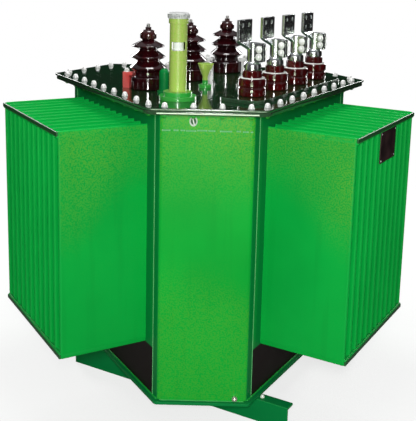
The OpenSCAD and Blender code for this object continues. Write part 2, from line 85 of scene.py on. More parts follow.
class Corner(Side):
    """Short corner faces of the tank."""

    FRONT = -60
    RIGHT = 60
    LEFT = 180


@dataclass(frozen=True)
class TankPlan:
    """Plan of the hexagonal tank, which places everything that goes round it."""

    long_apothem: float = 384 * MM
    short_apothem: float = 514 * MM
    corner_flange: float = 36 * MM
    lid_overhang: float = 63 * MM

    @property
    def axis(self) -> Vector:
        """Foot of the tank's axis."""
        return Vector((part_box("corner_wall_left")[0].x + self.short_apothem, 0, 0))

    def apothem(self, side: Side) -> float:
        """Distance of a side from the axis."""
        return self.long_apothem if isinstance(side, Face) else self.short_apothem

    def half(self, side: Side) -> float:
        """Half the length of a side.

        Args:
            side: the side.

        Returns:
            The half length in metres.
        """
        own = self.apothem(side)
        other = self.long_apothem + self.short_apothem - own
        return (other - own / 2) / SIN_60

    def at(self, side: Side, out: float, along: float, height: float) -> Vector:
        """Point seen from one side.

        Args:
            side: the side.
            out: distance from the axis along the side's normal.
            along: distance along the side, anticlockwise from above.
            height: height above the ground.

        Returns:
            The point in the row frame.
        """
        spot = Matrix.Rotation(math.radians(side.value), 3, "Z") @ Vector((out, along, height))
        return spot + self.axis


PLAN = TankPlan()


class Wire:
    """A node's output that takes part in Python expressions."""

    def __init__(self, shader: "Shader", socket: bpy.types.NodeSocket) -> None:
        """Keeps the socket and the shader that it belongs to."""
        self.shader = shader
        self.socket = socket

    def _math(self, operation: str, *terms: "Term") -> "Wire":
        """Adds one Math node on the given terms."""
        return self.shader.add("ShaderNodeMath", {"operation": operation}, dict(enumerate(terms)))

    def __add__(self, other: "Term") -> "Wire":
        """Sum."""
        return self._math("ADD", self, other)

    __radd__ = __add__

    def __sub__(self, other: "Term") -> "Wire":
        """Difference."""
        return self._math("SUBTRACT", self, other)

    def __rsub__(self, other: "Term") -> "Wire":
        """Difference from a number."""
        return self._math("SUBTRACT", other, self)

    def __mul__(self, other: "Term") -> "Wire":
        """Product."""
        return self._math("MULTIPLY", self, other)

    __rmul__ = __mul__

    def most(self, other: "Term") -> "Wire":
        """The larger of two values."""
        return self._math("MAXIMUM", self, other)

    def above(self, low: float, high: float) -> "Wire":
        """Mask that rises smoothly.

        Args:
            low: value at which it is 0.
            high: value at which it is 1.

        Returns:
            The mask.
        """
        settings = {"interpolation_type": "SMOOTHSTEP"}
        sockets = {"Value": self, "From Min": low, "From Max": high}
        return self.shader.add("ShaderNodeMapRange", settings, sockets)


Term = Union[Wire, float]


@dataclass(frozen=True)
class Grain:
    """A noise: features to the metre, octaves, squeeze along the axes, and the levels of its mask."""

    scale: float
    detail: float = 3.0
    stretch: Stretch = EVEN
    cut: Span = (0.0, 1.0)


class Shader:
    """Builds the nodes of one material or of the world."""

    SKYWARD: Span = (0.4, 0.95)
    FACE_ON: Span = (0.90, 0.97)
    POINTED: Span = (0.53, 0.62)
    PANEL_STEP = 1 * MM
    WALL_DEPTH: Span = (4 * MM, 8 * MM)
    # Numbers of the factor and of the two colours among a Mix node's sockets
    MIX_SOCKETS = (0, 6, 7)
    MIX_RESULT = 2

    def __init__(self, owner: Union[bpy.types.Material, bpy.types.World]) -> None:
        """Empties the owner's node tree.

        Args:
            owner: the material or world to build.
        """
        self.owner = owner
        owner.use_nodes = True
        self.tree = owner.node_tree
        self.tree.nodes.clear()

    @classmethod
    def named(cls, name: str) -> "Shader":
        """Starts a new material of that name."""
        return cls(bpy.data.materials.new(name))

    def add(self, kind: str, settings: Dict[str, object], sockets: Dict[object, object],
            out: Union[int, str, None] = 0) -> Optional[Wire]:
        """Adds a node, sets its settings, then fills its sockets.

        Args:
            kind: the node's type.
            settings: attributes of the node.
            sockets: values or wires by socket name or number.
            out: the output to hand back, None for a node without one.

        Returns:
            The chosen output, if any.
        """
        node = self.tree.nodes.new(kind)
        for key, value in settings.items():
            setattr(node, key, value)
        for key, value in sockets.items():
            target = node.inputs[key]
            if isinstance(value, Wire):
                self.tree.links.new(value.socket, target)
            else:
                target.default_value = value
        return None if out is None else Wire(self, node.outputs[out])

    def vector(self, operation: str, *terms: object, out: Union[int, str] = 0) -> Wire:
        """Adds one Vector Math node on the given vectors."""
        return self.add("ShaderNodeVectorMath", {"operation": operation}, dict(enumerate(terms)), out)

    def coords(self, kind: str = "Object") -> Wire:
        """Place of each point, in the object's own frame or in another of Blender's kinds."""
        return self.add("ShaderNodeTexCoord", {}, {}, kind)

    def surface(self, measure: str) -> Wire:
        """A measure of the surface itself, such as its normal."""
        return self.add("ShaderNodeNewGeometry", {}, {}, measure)

    def upright(self, way: Wire) -> Wire:
        """Share of a vector along Z."""
        return self.add("ShaderNodeSeparateXYZ", {}, {0: way}, "Z")

    def noise(self, grain: Grain) -> Wire:
        """Noise of that grain."""
        squeezed = self.vector("MULTIPLY", self.coords(), grain.stretch)
        return self.add("ShaderNodeTexNoise", {},
                        {"Vector": squeezed, "Scale": grain.scale, "Detail": grain.detail})

    def patches(self, grain: Grain) -> Wire:
        """Mask of the noise's peaks, between the two levels of its cut."""
        return self.noise(grain).above(*grain.cut)

    def blend(self, mask: Term, first: object, second: object) -> Wire:
        """Colour that goes from first to second as the mask rises."""
        sockets = dict(zip(self.MIX_SOCKETS, (mask, first, second)))
        return self.add("ShaderNodeMix", {"data_type": "RGBA"}, sockets, self.MIX_RESULT)

    def upward(self) -> Wire:
        """Mask of the surfaces that face the sky."""
        return self.upright(self.surface("Normal")).above(*self.SKYWARD)

    def height(self) -> Wire:
        """Height above the ground in metres."""
        return self.upright(self.coords())

    def from_axis(self) -> Wire:
        """Way from the tank's axis in metres, level with the ground."""
        level = self.vector("MULTIPLY", self.coords(), LEVEL)
        return self.vector("SUBTRACT", level, tuple(PLAN.axis))

    def outward(self, way: Wire) -> Wire:
        """Largest share of a vector along the normal of a long face.

        Args:
            way: the vector.

        Returns:
            The share.
        """
        shares = []
        for face in Face:
            angle = math.radians(face.value)
            normal = (math.cos(angle), math.sin(angle), 0.0)
            shares.append(self.vector("DOT_PRODUCT", way, normal, out="Value"))
        return shares[0].most(shares[1]).most(shares[2])

    def facing_out(self) -> Wire:
        """Mask of the surfaces that face the way a long face does."""
        return self.outward(self.surface("Normal")).above(*self.FACE_ON)

    def wall_strips(self) -> Wire:
        """Mask of the wall that lies back behind the fins and beside the corners, where shade is painted."""
        start, end = (PLAN.long_apothem + depth for depth in self.WALL_DEPTH)
        return self.facing_out() * (1 - self.outward(self.from_axis()).above(start, end))

    def end_panels(self, along: float) -> Wire:
        """Mask of what stands further than that along a long face from its middle.

        Args:
            along: distance from the face's middle.

        Returns:
            The mask.
        """
        way = self.from_axis()
        reach = self.outward(way)
        square = self.vector("DOT_PRODUCT", way, way, out="Value") - reach * reach
        return square.above(along ** 2, (along + self.PANEL_STEP) ** 2)

    def edges(self) -> Wire:
        """Mask of the outer edges, from the surface's pointiness."""
        return self.surface("Pointiness").above(*self.POINTED)

    def relief(self, height: Wire, depth: float = 1.0) -> Wire:
        """Normal for a relief whose height 1 is that depth in metres."""
        return self.add("ShaderNodeBump", {}, {"Height": height, "Distance": depth})

    def close(self, **sockets: object) -> bpy.types.Material:
        """Ends the material in one principled shader.

        Args:
            sockets: values or wires by socket name, with _ for a space.

        Returns:
            The finished material.
        """
        named = {key.replace("_", " "): value for key, value in sockets.items()}
        skin = self.add("ShaderNodeBsdfPrincipled", {}, named)
        self.add("ShaderNodeOutputMaterial", {}, {"Surface": skin}, None)
        return self.owner


def rgba(colour: Colour, gain: float = 1.0) -> Tuple[float, float, float, float]:
    """Opaque colour with its brightness scaled."""
    return (colour[0] * gain, colour[1] * gain, colour[2] * gain, 1.0)


@dataclass(frozen=True)
class Enamel:
    """Sprayed gloss paint on sheet steel, a little wavy, with some dust on top and a painted highlight along
    its edges.

    Attributes:
        warm: tone of fine warm grains, where there are any; a painted sheen where the light's glare falls,
            and a painted reflection on the lid.
        cool_low: height below which the grains come back.
        cool_top: height from which they spread upward.
        cool_tops: how far surfaces that face the sky are kept free of them.
        warm_along: distance along a long face from which they show, 0 for everywhere.
        tip: tone of surfaces that face the way a long face does, a painted light on the fin tips.
        crest: tone of the fins' upper ends, a painted light against the shade between them.
        recess: tone of the wall behind the fins, a painted shade.
        low: tone of all that lies below low_top.
        low_edge: share of the edge tone that is left below low_top.
    """

    name: str
    colour: Colour
    edge: Colour
    roughness: float = 0.36
    coat: float = 0.02
    coat_roughness: float = 0.10
    shine: float = 0.14
    warm: Optional[Colour] = None
    cool_low: float = 0.0
    cool_top: float = 0.0
    cool_tops: float = 1.0
    warm_along: float = 0.0
    tip: Optional[Colour] = None
    crest: Optional[Colour] = None
    recess: Optional[Colour] = None
    low: Optional[Colour] = None
    low_top: float = 0.0
    low_edge: float = 1.0
    dust_share: float = 0.015

    CLOUDS = Grain(3.0, cut=(0.3, 0.7))
    CLOUD_ROUGHNESS = 0.08
    MOTTLE = 0.08
    RUNS = Grain(34.0, 2.0, (1.0, 1.0, 0.06), (0.52, 0.72))
    RUN_SHARE = 0.35
    SPECKS = Grain(620.0, 1.0)
    SPECK_ROUGHNESS = 0.04
    PATCHES = Grain(2.6, 2.0, cut=(0.30, 0.62))
    GRAINS = Grain(210.0, 2.0, cut=(0.36, 0.62))
    WARM_REACH = (0.42, 0.66)
    WARM_SPREAD = 0.2
    WARM_RISE = 0.40
    WARM_HIGH = (0.45, 0.38)
    WARM_FOOT = (0.20, 0.02)
    FOOT_RISE = 0.25
    CREST_RISE = (973 * MM, 987 * MM)
    CREST_FALL = (985 * MM, 1002 * MM)
    CREST_FADE = 0.75
    LOW_STEP = 2 * MM
    EDGE_SHARE = 0.55
    FILM = Grain(9.0, 6.0, cut=(0.35, 0.75))
    DUST = (0.42, 0.44, 0.36)
    WAVES = Grain(7.0, 1.0)
    WAVE_DEPTH = 1.2 * MM
    PEEL = Grain(260.0, 2.0)
    PEEL_DEPTH = 0.06 * MM

    def material(self) -> bpy.types.Material:
        """Builds the paint.

        Returns:
            The paint as a material.
        """
        paint = Shader.named(self.name)
        clouds = paint.noise(self.CLOUDS)
        tone = paint.blend(clouds.above(*self.CLOUDS.cut), rgba(self.colour, 1 - self.MOTTLE),
                           rgba(self.colour, 1 + self.MOTTLE))
        tone = paint.blend(paint.patches(self.RUNS) * self.RUN_SHARE, tone,
                           rgba(self.colour, 1 - 2 * self.MOTTLE))
        # Warm grains are a painted sheen of glare, mostly high up
        if self.warm:
            tone = paint.blend(self.painted_sheen(paint), tone, rgba(self.warm))
        # Painted light on the fins' upper ends, against the shade in the gaps
        if self.crest:
            tone = paint.blend(self.upper_ends(paint), tone, rgba(self.crest))
        # Painted light on the fin tips
        if self.tip:
            tone = paint.blend(paint.facing_out(), tone, rgba(self.tip))
        # Painted shade on the wall strips behind the fins
        if self.recess:
            tone = paint.blend(paint.wall_strips(), tone, rgba(self.recess))
        # Lighter edges are a painted highlight where light catches the rounded edges
        edge_highlight = paint.edges() * self.EDGE_SHARE
        if self.low:
            above = paint.height().above(self.low_top, self.low_top + self.LOW_STEP)
            tone = paint.blend(above, rgba(self.low), tone)
            edge_highlight = edge_highlight * (self.low_edge + above * (1 - self.low_edge))
        tone = paint.blend(edge_highlight, tone, rgba(self.edge))
        dusty = paint.upward() * (paint.patches(self.FILM) * self.dust_share)
        tone = paint.blend(dusty, tone, rgba(self.DUST))
        specks = paint.noise(self.SPECKS) * self.SPECK_ROUGHNESS
        height = paint.noise(self.WAVES) * self.WAVE_DEPTH + paint.noise(self.PEEL) * self.PEEL_DEPTH
        return paint.close(Base_Color=tone, Coat_Weight=self.coat, Coat_Roughness=self.coat_roughness,
                           Specular_IOR_Level=self.shine,
                           Roughness=self.roughness + clouds * self.CLOUD_ROUGHNESS + dusty + specks,
                           Normal=paint.relief(height))

    def painted_sheen(self, paint: Shader) -> Wire:
        """Share of the warm tone, a painted sheen in fine grains that gather in patches, most of them high
        up.

        Args:
            paint: the paint's shader.

        Returns:
            The mask.
        """
        level = paint.height()
        spread = paint.outward(paint.from_axis()).above(*self.WARM_REACH) * self.WARM_SPREAD
        high = (level + spread).above(self.cool_top, self.cool_top + self.WARM_RISE)
        foot = 1 - level.above(self.cool_low - self.FOOT_RISE, self.cool_low)
        patches = paint.patches(self.PATCHES)
        patchy, even = self.WARM_HIGH
        footed, anywhere = self.WARM_FOOT
        reach = high * (patches * patchy + even) + patches * (foot * footed + anywhere)
        share = paint.patches(self.GRAINS) * reach * (1 - paint.upward() * self.cool_tops)
        return share * paint.end_panels(self.warm_along) if self.warm_along else share

    def upper_ends(self, paint: Shader) -> Wire:
        """Band of painted light across the fins' upper ends that leaves out the end panels.

        Args:
            paint: the paint's shader.

        Returns:
            The mask.
        """
        level = paint.height()
        band = level.above(*self.CREST_RISE) * (1 - level.above(*self.CREST_FALL) * self.CREST_FADE)
        return band * (1 - paint.end_panels(self.warm_along))


@dataclass(frozen=True)
class Glaze:
    """Fired brown glaze that runs thin and redder on the edges."""

    name: str
    colour: Colour
    thin: Colour
    roughness: float = 0.07

    POOLS = Grain(24.0, cut=(0.35, 0.7))
    POOL_ROUGHNESS = 0.06
    THIN_GAIN = 0.6
    EDGE_SHARE = 0.7
    WAVES = Grain(60.0, 2.0)
    WAVE_DEPTH = 0.25 * MM
    COAT = 0.6
    COAT_ROUGHNESS = 0.03

    def material(self) -> bpy.types.Material:
        """Builds the glaze.

        Returns:
            The glaze as a material.
        """
        glaze = Shader.named(self.name)
        pools = glaze.noise(self.POOLS)
        tone = glaze.blend(pools.above(*self.POOLS.cut), rgba(self.colour), rgba(self.thin, self.THIN_GAIN))
        tone = glaze.blend(glaze.edges() * self.EDGE_SHARE, tone, rgba(self.thin))
        height = glaze.noise(self.WAVES) * self.WAVE_DEPTH
        return glaze.close(Base_Color=tone, Coat_Weight=self.COAT, Coat_Roughness=self.COAT_ROUGHNESS,
                           Roughness=self.roughness + pools * self.POOL_ROUGHNESS,
                           Normal=glaze.relief(height))


@dataclass(frozen=True)
class BareMetal:
    """Tinned, plated or cast metal with fine scratches and dull patches."""

    name: str
    colour: Colour
    dull: Colour
    roughness: float = 0.22
    scratch: Stretch = (1.0, 1.0, 0.12)
    metallic: float = 1.0

    PATCHES = Grain(45.0, 4.0, cut=(0.42, 0.72))
    PATCH_ROUGHNESS = 0.12
    LINE_SCALE = 900.0
    LINE_DETAIL = 2.0
    LINE_ROUGHNESS = 0.05
    LINE_DEPTH = 0.01 * MM
    EDGE_SHARE = 0.5
    EDGE_GAIN = 1.05

    def material(self) -> bpy.types.Material:
        """Builds the metal.

        Returns:
            The metal as a material.
        """
        metal = Shader.named(self.name)
        patches = metal.noise(self.PATCHES)
        lines = metal.noise(Grain(self.LINE_SCALE, self.LINE_DETAIL, self.scratch))
        tone = metal.blend(patches.above(*self.PATCHES.cut), rgba(self.colour), rgba(self.dull))
        tone = metal.blend(metal.edges() * self.EDGE_SHARE, tone, rgba(self.colour, self.EDGE_GAIN))
        roughness = self.roughness + patches * self.PATCH_ROUGHNESS + lines * self.LINE_ROUGHNESS
        return metal.close(Base_Color=tone, Metallic=self.metallic, Roughness=roughness,
                           Normal=metal.relief(lines, self.LINE_DEPTH))


@dataclass(frozen=True)
class Moulding:
    """Matt rubber, plastic or plain plate with a grain and a slight bloom."""

    name: str
    colour: Colour
    bloom: Colour
    roughness: float = 0.5
    cloud: float = 30.0

    CLOUD_DETAIL = 5.0
    CLOUD_CUT = (0.4, 0.75)
    CLOUD_SHARE = 0.5
    EDGE_SHARE = 0.4
    GRAIN = Grain(400.0, 2.0)
    GRAIN_ROUGHNESS = 0.15
    GRAIN_DEPTH = 0.08 * MM

    def material(self) -> bpy.types.Material:
        """Builds the moulding.

        Returns:
            The moulding as a material.
        """
        skin = Shader.named(self.name)
        haze = skin.patches(Grain(self.cloud, self.CLOUD_DETAIL, cut=self.CLOUD_CUT))
        bloom = haze * self.CLOUD_SHARE + skin.edges() * self.EDGE_SHARE
        tone = skin.blend(bloom, rgba(self.colour), rgba(self.bloom))
        grain = skin.noise(self.GRAIN)
        return skin.close(Base_Color=tone, Roughness=self.roughness + grain * self.GRAIN_ROUGHNESS,
                          Normal=skin.relief(grain, self.GRAIN_DEPTH))


class Finishes:
    """Every finish of the transformer, made once."""

    WALL_SHADE: Colour = (0.001, 0.23, 0.050)

    def __init__(self) -> None:
        """Makes the materials, under the names of the record's slots."""
        finishes = (
            # Tank paint: warm grains high up are a painted sheen, recess is painted shade on the wall behind
            # the fins
            Enamel("tank_green", (0.001, 0.38, 0.036), (0.05, 0.48, 0.10), warm=(0.18, 0.43, 0.022),
                   cool_low=0.62, cool_top=0.72, recess=self.WALL_SHADE,
                   low=(0.001, 0.21, 0.050), low_top=90.5 * MM),
            # Fin paint: warm grains are a painted sheen, tip and crest painted light, recess painted shade,
            # low a painted shadow under the banks
            Enamel("fin_green", (0.001, 0.38, 0.050), (0.01, 0.42, 0.07), warm=(0.15, 0.43, 0.035),
                   cool_low=0.20, cool_top=0.76, warm_along=278 * MM, tip=(0.003, 0.64, 0.085),
                   crest=(0.003, 0.66, 0.088), recess=self.WALL_SHADE,
                   low=(0.013, 0.007, 0.007), low_top=258 * MM, low_edge=0.0),
            # Lid paint: its warm patches are a painted reflection of dark brown surroundings, its pale edge
            # a painted highlight
            Enamel("lid_green", (0.001, 0.052, 0.014), (0.55, 0.80, 0.50), roughness=0.05, coat=0.6,
                   coat_roughness=0.03, shine=0.35, warm=(0.008, 0.006, 0.005), cool_top=0.7,
                   cool_tops=0.0, dust_share=0.0),
            # Darker copy of the tank paint for the thermometer pocket: painted shade
            Enamel("pocket_shaded_green", (0.002, 0.19, 0.040), (0.20, 0.60, 0.18)),
            # Paler copy of the tank paint for weld beads: painted highlight where they catch the light
            Enamel("weld_glint", (0.12, 0.48, 0.17), (0.36, 0.74, 0.42)),
            Enamel("bar_dark", (0.003, 0.022, 0.008), (0.10, 0.42, 0.14)),
            # Filler paint: its warm grains are a painted sheen
            Enamel("filler_green", (0.36, 0.59, 0.08), (0.60, 0.84, 0.30), roughness=0.26, coat=0.35,
                   shine=0.4, warm=(0.50, 0.58, 0.16), cool_top=0.7, low=(0.03, 0.42, 0.05),
                   low_top=1105 * MM),
            Enamel("clamp_red", (0.66, 0.060, 0.055), (0.85, 0.30, 0.27)),
            Moulding("filling", (0.16, 0.10, 0.03), (0.22, 0.15, 0.06)),
            Moulding("gasket", (0.014, 0.060, 0.024), (0.05, 0.16, 0.06), roughness=0.62),
            Glaze("lv_porcelain", (0.036, 0.002, 0.003), (0.13, 0.005, 0.005)),
            Glaze("hv_porcelain", (0.014, 0.0025, 0.004), (0.060, 0.003, 0.006)),
            Glaze("hv_cap", (0.018, 0.004, 0.005), (0.07, 0.01, 0.01), roughness=0.14),
            BareMetal("terminal_metal", (0.86, 0.88, 0.88), (0.66, 0.68, 0.68), roughness=0.14),
            # Near-white, little metallic zinc: partly the zinc's own pale colour, partly a painted highlight
            # so bolts read white
            BareMetal("clamp_zinc", (0.96, 0.96, 0.94), (0.86, 0.85, 0.82), roughness=0.30,
                      scratch=EVEN, metallic=0.25),
            BareMetal("earth_metal", (0.82, 0.80, 0.74), (0.60, 0.56, 0.48), roughness=0.30),
            Moulding("sight_glass", (0.94, 0.96, 0.93), (0.98, 0.98, 0.97), roughness=0.12),
            Moulding("filler_cap", (0.66, 0.67, 0.66), (0.05, 0.05, 0.05), roughness=0.40, cloud=130.0),
            # The plate's lighter, redder edges are a painted highlight
            Moulding("plate_dark", (0.018, 0.007, 0.009), (0.12, 0.06, 0.06), roughness=0.34, cloud=18.0),
            Moulding("plug_white", (0.80, 0.84, 0.80), (0.92, 0.94, 0.92), roughness=0.30),
        )
        self.by_name = {finish.name: finish.material() for finish in finishes}


def rounded(corners: Profile, radius: float, steps: int = 4) -> Profile:
    """Rounds the inner corners of a profile.

    Args:
        corners: radius and height of each corner, from one end to the other.
        radius: rounding, less where two corners are close.
        steps: points on each rounding.

    Returns:
        The profile with its roundings.
    """
    edge_share = 0.45
    points = [Vector(corner) for corner in corners]
    made = [points[0]]
    for before, corner, after in zip(points, points[1:], points[2:]):
        room = min(radius, (before - corner).length * edge_share, (after - corner).length * edge_share)
        first = corner + (before - corner).normalized() * room
        last = corner + (after - corner).normalized() * room
        for step in range(steps + 1):
            share = step / steps
            made.append(first.lerp(corner, share).lerp(corner.lerp(last, share), share))
    made.append(points[-1])
    return [(max(point.x, 0.0), point.y) for point in made]


def dome_profile(radius: float, rise: float, step: int) -> Profile:
    """Profile of a dome on height 0.

    Args:
        radius: radius of its foot.
        rise: height of its top.
        step: degrees from one ring to the next.

    Returns:
        The profile, closed on the axis.
    """
    arc = [math.radians(angle) for angle in range(0, 90, step)]
    return [*((radius * math.cos(a), rise * math.sin(a)) for a in arc), (0.0, rise)]


def row(count: int, pitch: float) -> List[float]:
    """Places of an even row about its middle."""
    return [(index - (count - 1) / 2) * pitch for index in range(count)]


def middle(node: str) -> Vector:
    """Middle of a CAD node's box."""
    low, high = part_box(node)
    return (low + high) / 2


def link(name: str, data: bpy.types.ID) -> bpy.types.Object:
    """Adds an object to the scene.

    Args:
        name: the object's name.
        data: its mesh, light or camera.

    Returns:
        The object.
    """
    made = bpy.data.objects.new(name, data)
    bpy.context.scene.collection.objects.link(made)
    return made


class Piece:
    """One mesh of the scene while it is being made."""

    MERGE = 0.01 * MM
    FLAT_ANGLE = math.radians(0.5)
    SHARP_ANGLE = math.radians(32)
    ROUND_PROFILE = 0.5
    ON_AXIS = 0.001 * MM
    BORDER_SHARE = 2
    BORDER_ROOM = 2
    WIDE_AREA = 0.004
    NARROW_CORNER = math.radians(40)
    BEAD_SWELL = (1.0, 0.8)

    def __init__(self, name: str, slot: str, look: Optional[str] = None) -> None:
        """Starts an empty piece.

        Args:
            name: the piece's name.
            slot: its slot in the record.
            look: name of its finish, where it isn't the slot's.
        """
        self.name = name
        self.slot = slot
        self.look = look or slot
        self.mesh = bmesh.new()
        self.nodes: List[str] = []

    def take(self, node: str, rounding: float, steps: int = 2) -> "Piece":
        """Adds a copy of a CAD node with its sharp edges rounded, and stands for that node.

        Args:
            node: the CAD node.
            rounding: width of the rounding in metres.
            steps: segments of the rounding.

        Returns:
            The piece.
        """
        part = bmesh.new()
        part.from_mesh(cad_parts[node].data)
        bmesh.ops.remove_doubles(part, verts=part.verts, dist=self.MERGE)
        bmesh.ops.dissolve_limit(part, angle_limit=self.FLAT_ANGLE, verts=part.verts, edges=part.edges)
        sharp = [edge for edge in part.edges
                 if edge.is_manifold and edge.calc_face_angle(0.0) > self.SHARP_ANGLE]
        bmesh.ops.bevel(part, geom=sharp, offset=rounding, offset_type="OFFSET", segments=steps,
                        profile=self.ROUND_PROFILE, affect="EDGES", clamp_overlap=False)
        # A border on wide faces keeps the edge mask from running across them
        border = self.BORDER_SHARE * rounding
        wide = [face for face in part.faces if self.has_room(face, border)]
        bmesh.ops.inset_individual(part, faces=wide, thickness=border, use_even_offset=True)
        scratch = bpy.data.meshes.new("scratch")
        part.to_mesh(scratch)
        part.free()
        self.mesh.from_mesh(scratch)
        bpy.data.meshes.remove(scratch)
        self.nodes.append(node)
        return self

    def has_room(self, face: bmesh.types.BMFace, border: float) -> bool:
        """Whether a face is large, broad and blunt enough for a border."""
        large = face.calc_area() > max(self.WIDE_AREA, self.BORDER_ROOM * border * face.calc_perimeter())
        return large and min(loop.calc_angle() for loop in face.loops) > self.NARROW_CORNER

    def turn(self, profile: Profile, place: Matrix, sides: int = 48) -> "Piece":
        """Adds a body turned about the place's Z axis.

        Args:
            profile: radius and height of each ring; a radius of 0 closes an end.
            place: matrix of the body's foot.
            sides: facets around the axis.

        Returns:
            The piece.
        """
        rings = []
        for radius, height in profile:
            count = 1 if radius < self.ON_AXIS else sides
            angles = [2 * math.pi * step / sides for step in range(count)]
            spots = [Vector((radius * math.cos(a), radius * math.sin(a), height)) for a in angles]
            rings.append([self.mesh.verts.new(place @ spot) for spot in spots])
        for low, high in zip(rings, rings[1:]):
            for step in range(sides):
                after = (step + 1) % sides
                loop = [low[step % len(low)], low[after % len(low)],
                        high[after % len(high)], high[step % len(high)]]
                corners = list(dict.fromkeys(loop))
                if len(corners) > 2:
                    self.mesh.faces.new(corners)
        return self

    def bead(self, start: Vector, end: Vector, radius: float, ripple: float = 6 * MM,
             sides: int = 8) -> "Piece":
        """Adds a rippled weld bead between two points.

        Args:
            start: one end.
            end: the other end.
            radius: radius of the bead.
            ripple: length of one ripple.
            sides: facets around the bead.

        Returns:
            The piece.
        """
        run = end - start
        place = Matrix.Translation(start) @ run.to_track_quat("Z", "Y").to_matrix().to_4x4()
        count = max(2, round(2 * run.length / ripple))
        body = [(radius * self.BEAD_SWELL[step % 2], run.length * step / count) for step in range(count + 1)]
        return self.turn([(0.0, -radius / 2), *body, (0.0, run.length + radius / 2)], place, sides)

    def finish(self, finishes: Finishes) -> None:
        """Makes the object, with its finish, and ties it to the frame.

        Args:
            finishes: the finishes by slot.
        """
        bmesh.ops.recalc_face_normals(self.mesh, faces=self.mesh.faces)
        mesh = bpy.data.meshes.new(self.name)
        self.mesh.to_mesh(mesh)
        self.mesh.free()
        mesh.materials.clear()
        mesh.materials.append(finishes.by_name[self.look])
        mesh.polygons.foreach_set("use_smooth", [True] * len(mesh.polygons))
        mesh.polygons.foreach_set("material_index", [0] * len(mesh.polygons))
        mesh.set_sharp_from_angle(angle=self.SHARP_ANGLE)
        made = link(self.name, mesh)
        weighted = made.modifiers.new("weighted", "WEIGHTED_NORMAL")
        weighted.keep_sharp = True
        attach(made, BODY)
        if self.nodes:
            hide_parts(*self.nodes)
        LOG.info("%s: %d faces", self.name, len(mesh.polygons))


@dataclass(frozen=True)
class Bolt:
    """Hexagon head or nut on a washer, seated on the place's XY plane."""

    across: float = 19 * MM
    head: float = 9 * MM
    washer: float = 13 * MM
    washer_t: float = 2 * MM
    dome: float = 0.0
    stub: float = 0.0
    stub_r: float = 6 * MM
    thread: float = 1.75 * MM

    CHAMFER = 1.2 * MM
    WASHER_EDGE = 0.6 * MM
    WASHER_STEPS = 2
    DOME_SHARE = 0.48
    DOME_STEP = 15
    THREAD_DEPTH = 0.6
    ROUND_SIDES = 24
    HEX_SIDES = 6

    def add(self, piece: Piece, place: Matrix) -> None:
        """Adds washer, hexagon and the dome or threaded end to a piece.

        Args:
            piece: the piece that takes the bolt.
            place: seat of the bolt, with its axis along +Z.
        """
        corner = self.across / math.sqrt(3)
        top = self.washer_t + self.head
        ring = [(0.0, 0.0), (self.washer, 0.0), (self.washer, self.washer_t), (0.0, self.washer_t)]
        piece.turn(rounded(ring, self.WASHER_EDGE, self.WASHER_STEPS), place, self.ROUND_SIDES)
        piece.turn([(0.0, self.washer_t), (corner, self.washer_t), (corner, top - self.CHAMFER),
                    (corner - self.CHAMFER, top), (0.0, top)], place, self.HEX_SIDES)
        if self.dome:
            radius = self.across * self.DOME_SHARE
            cap = [(out, top + up) for out, up in dome_profile(radius, self.dome, self.DOME_STEP)]
            piece.turn([(radius, top - self.CHAMFER), *cap], place, self.ROUND_SIDES)
        if self.stub:
            self.add_thread(piece, place @ Matrix.Translation((0, 0, top)))

    def add_thread(self, piece: Piece, place: Matrix) -> None:
        """Adds the threaded end of the bolt above its nut.

        Args:
            piece: the piece that takes the thread.
            place: foot of the thread, with its axis along +Z.
        """
        count = max(1, round(self.stub / self.thread))
        root = self.stub_r - self.THREAD_DEPTH * self.thread
        ridge = []
        for step in range(count):
            ridge += [(root, step * self.thread), (self.stub_r, (step + 0.5) * self.thread)]
        piece.turn([(0.0, 0.0), *ridge, (root, self.stub), (0.0, self.stub)], place, self.ROUND_SIDES)


@dataclass
class SubAssembly:
    """Part of the transformer that makes its own pieces and dresses them."""

    finishes: Finishes

    def dress(self, name: str, slot: str, node: str, rounding: float, steps: int = 2,
              look: Optional[str] = None) -> None:
        """Makes one piece from one CAD node.

        Args:
            name: the piece's name.
            slot: its slot in the record.
            node: the CAD node that it stands for.
            rounding: width of the rounding on its edges.
            steps: segments of the rounding.
            look: name of its finish, where it isn't the slot's.
        """
        Piece(name, slot, look).take(node, rounding, steps).finish(self.finishes)


@dataclass
class FootFrame(SubAssembly):
    """Base plate on two foot channels, bolted where the channels come out from under it."""

    rounding: float = 1.5 * MM
    bolt: Bolt = Bolt(across=13 * MM, head=4 * MM, washer=8 * MM, dome=4 * MM)
    bolt_out: float = 10 * MM

    CHANNELS = ("near", "far")

    def build(self) -> None:
        """Makes the channels, the plate and the bolts."""
        for channel in self.CHANNELS:
            self.dress(f"foot_channel_{channel}", "tank_green", f"base_channel_{channel}", self.rounding)
        self.dress("bottom_plate", "tank_green", "base_plate", self.rounding)
        self.bolts()

    def bolts(self) -> None:
        """Bolts on the channels' upper flanges, just outside the base plate."""
        bolts = Piece("foot_bolts", "clamp_zinc")
        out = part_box("base_plate")[1].x - PLAN.axis.x + self.bolt_out
        for channel in self.CHANNELS:
            low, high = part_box(f"base_channel_{channel}")
            across = (low.y + high.y) / 2
            # The sloping long face crosses the channel here
            slant = 2 * (out - abs(across) * SIN_60)
            for x in (out, -slant):
                self.bolt.add(bolts, Matrix.Translation((PLAN.axis.x + x, across, high.z)))
        bolts.finish(self.finishes)


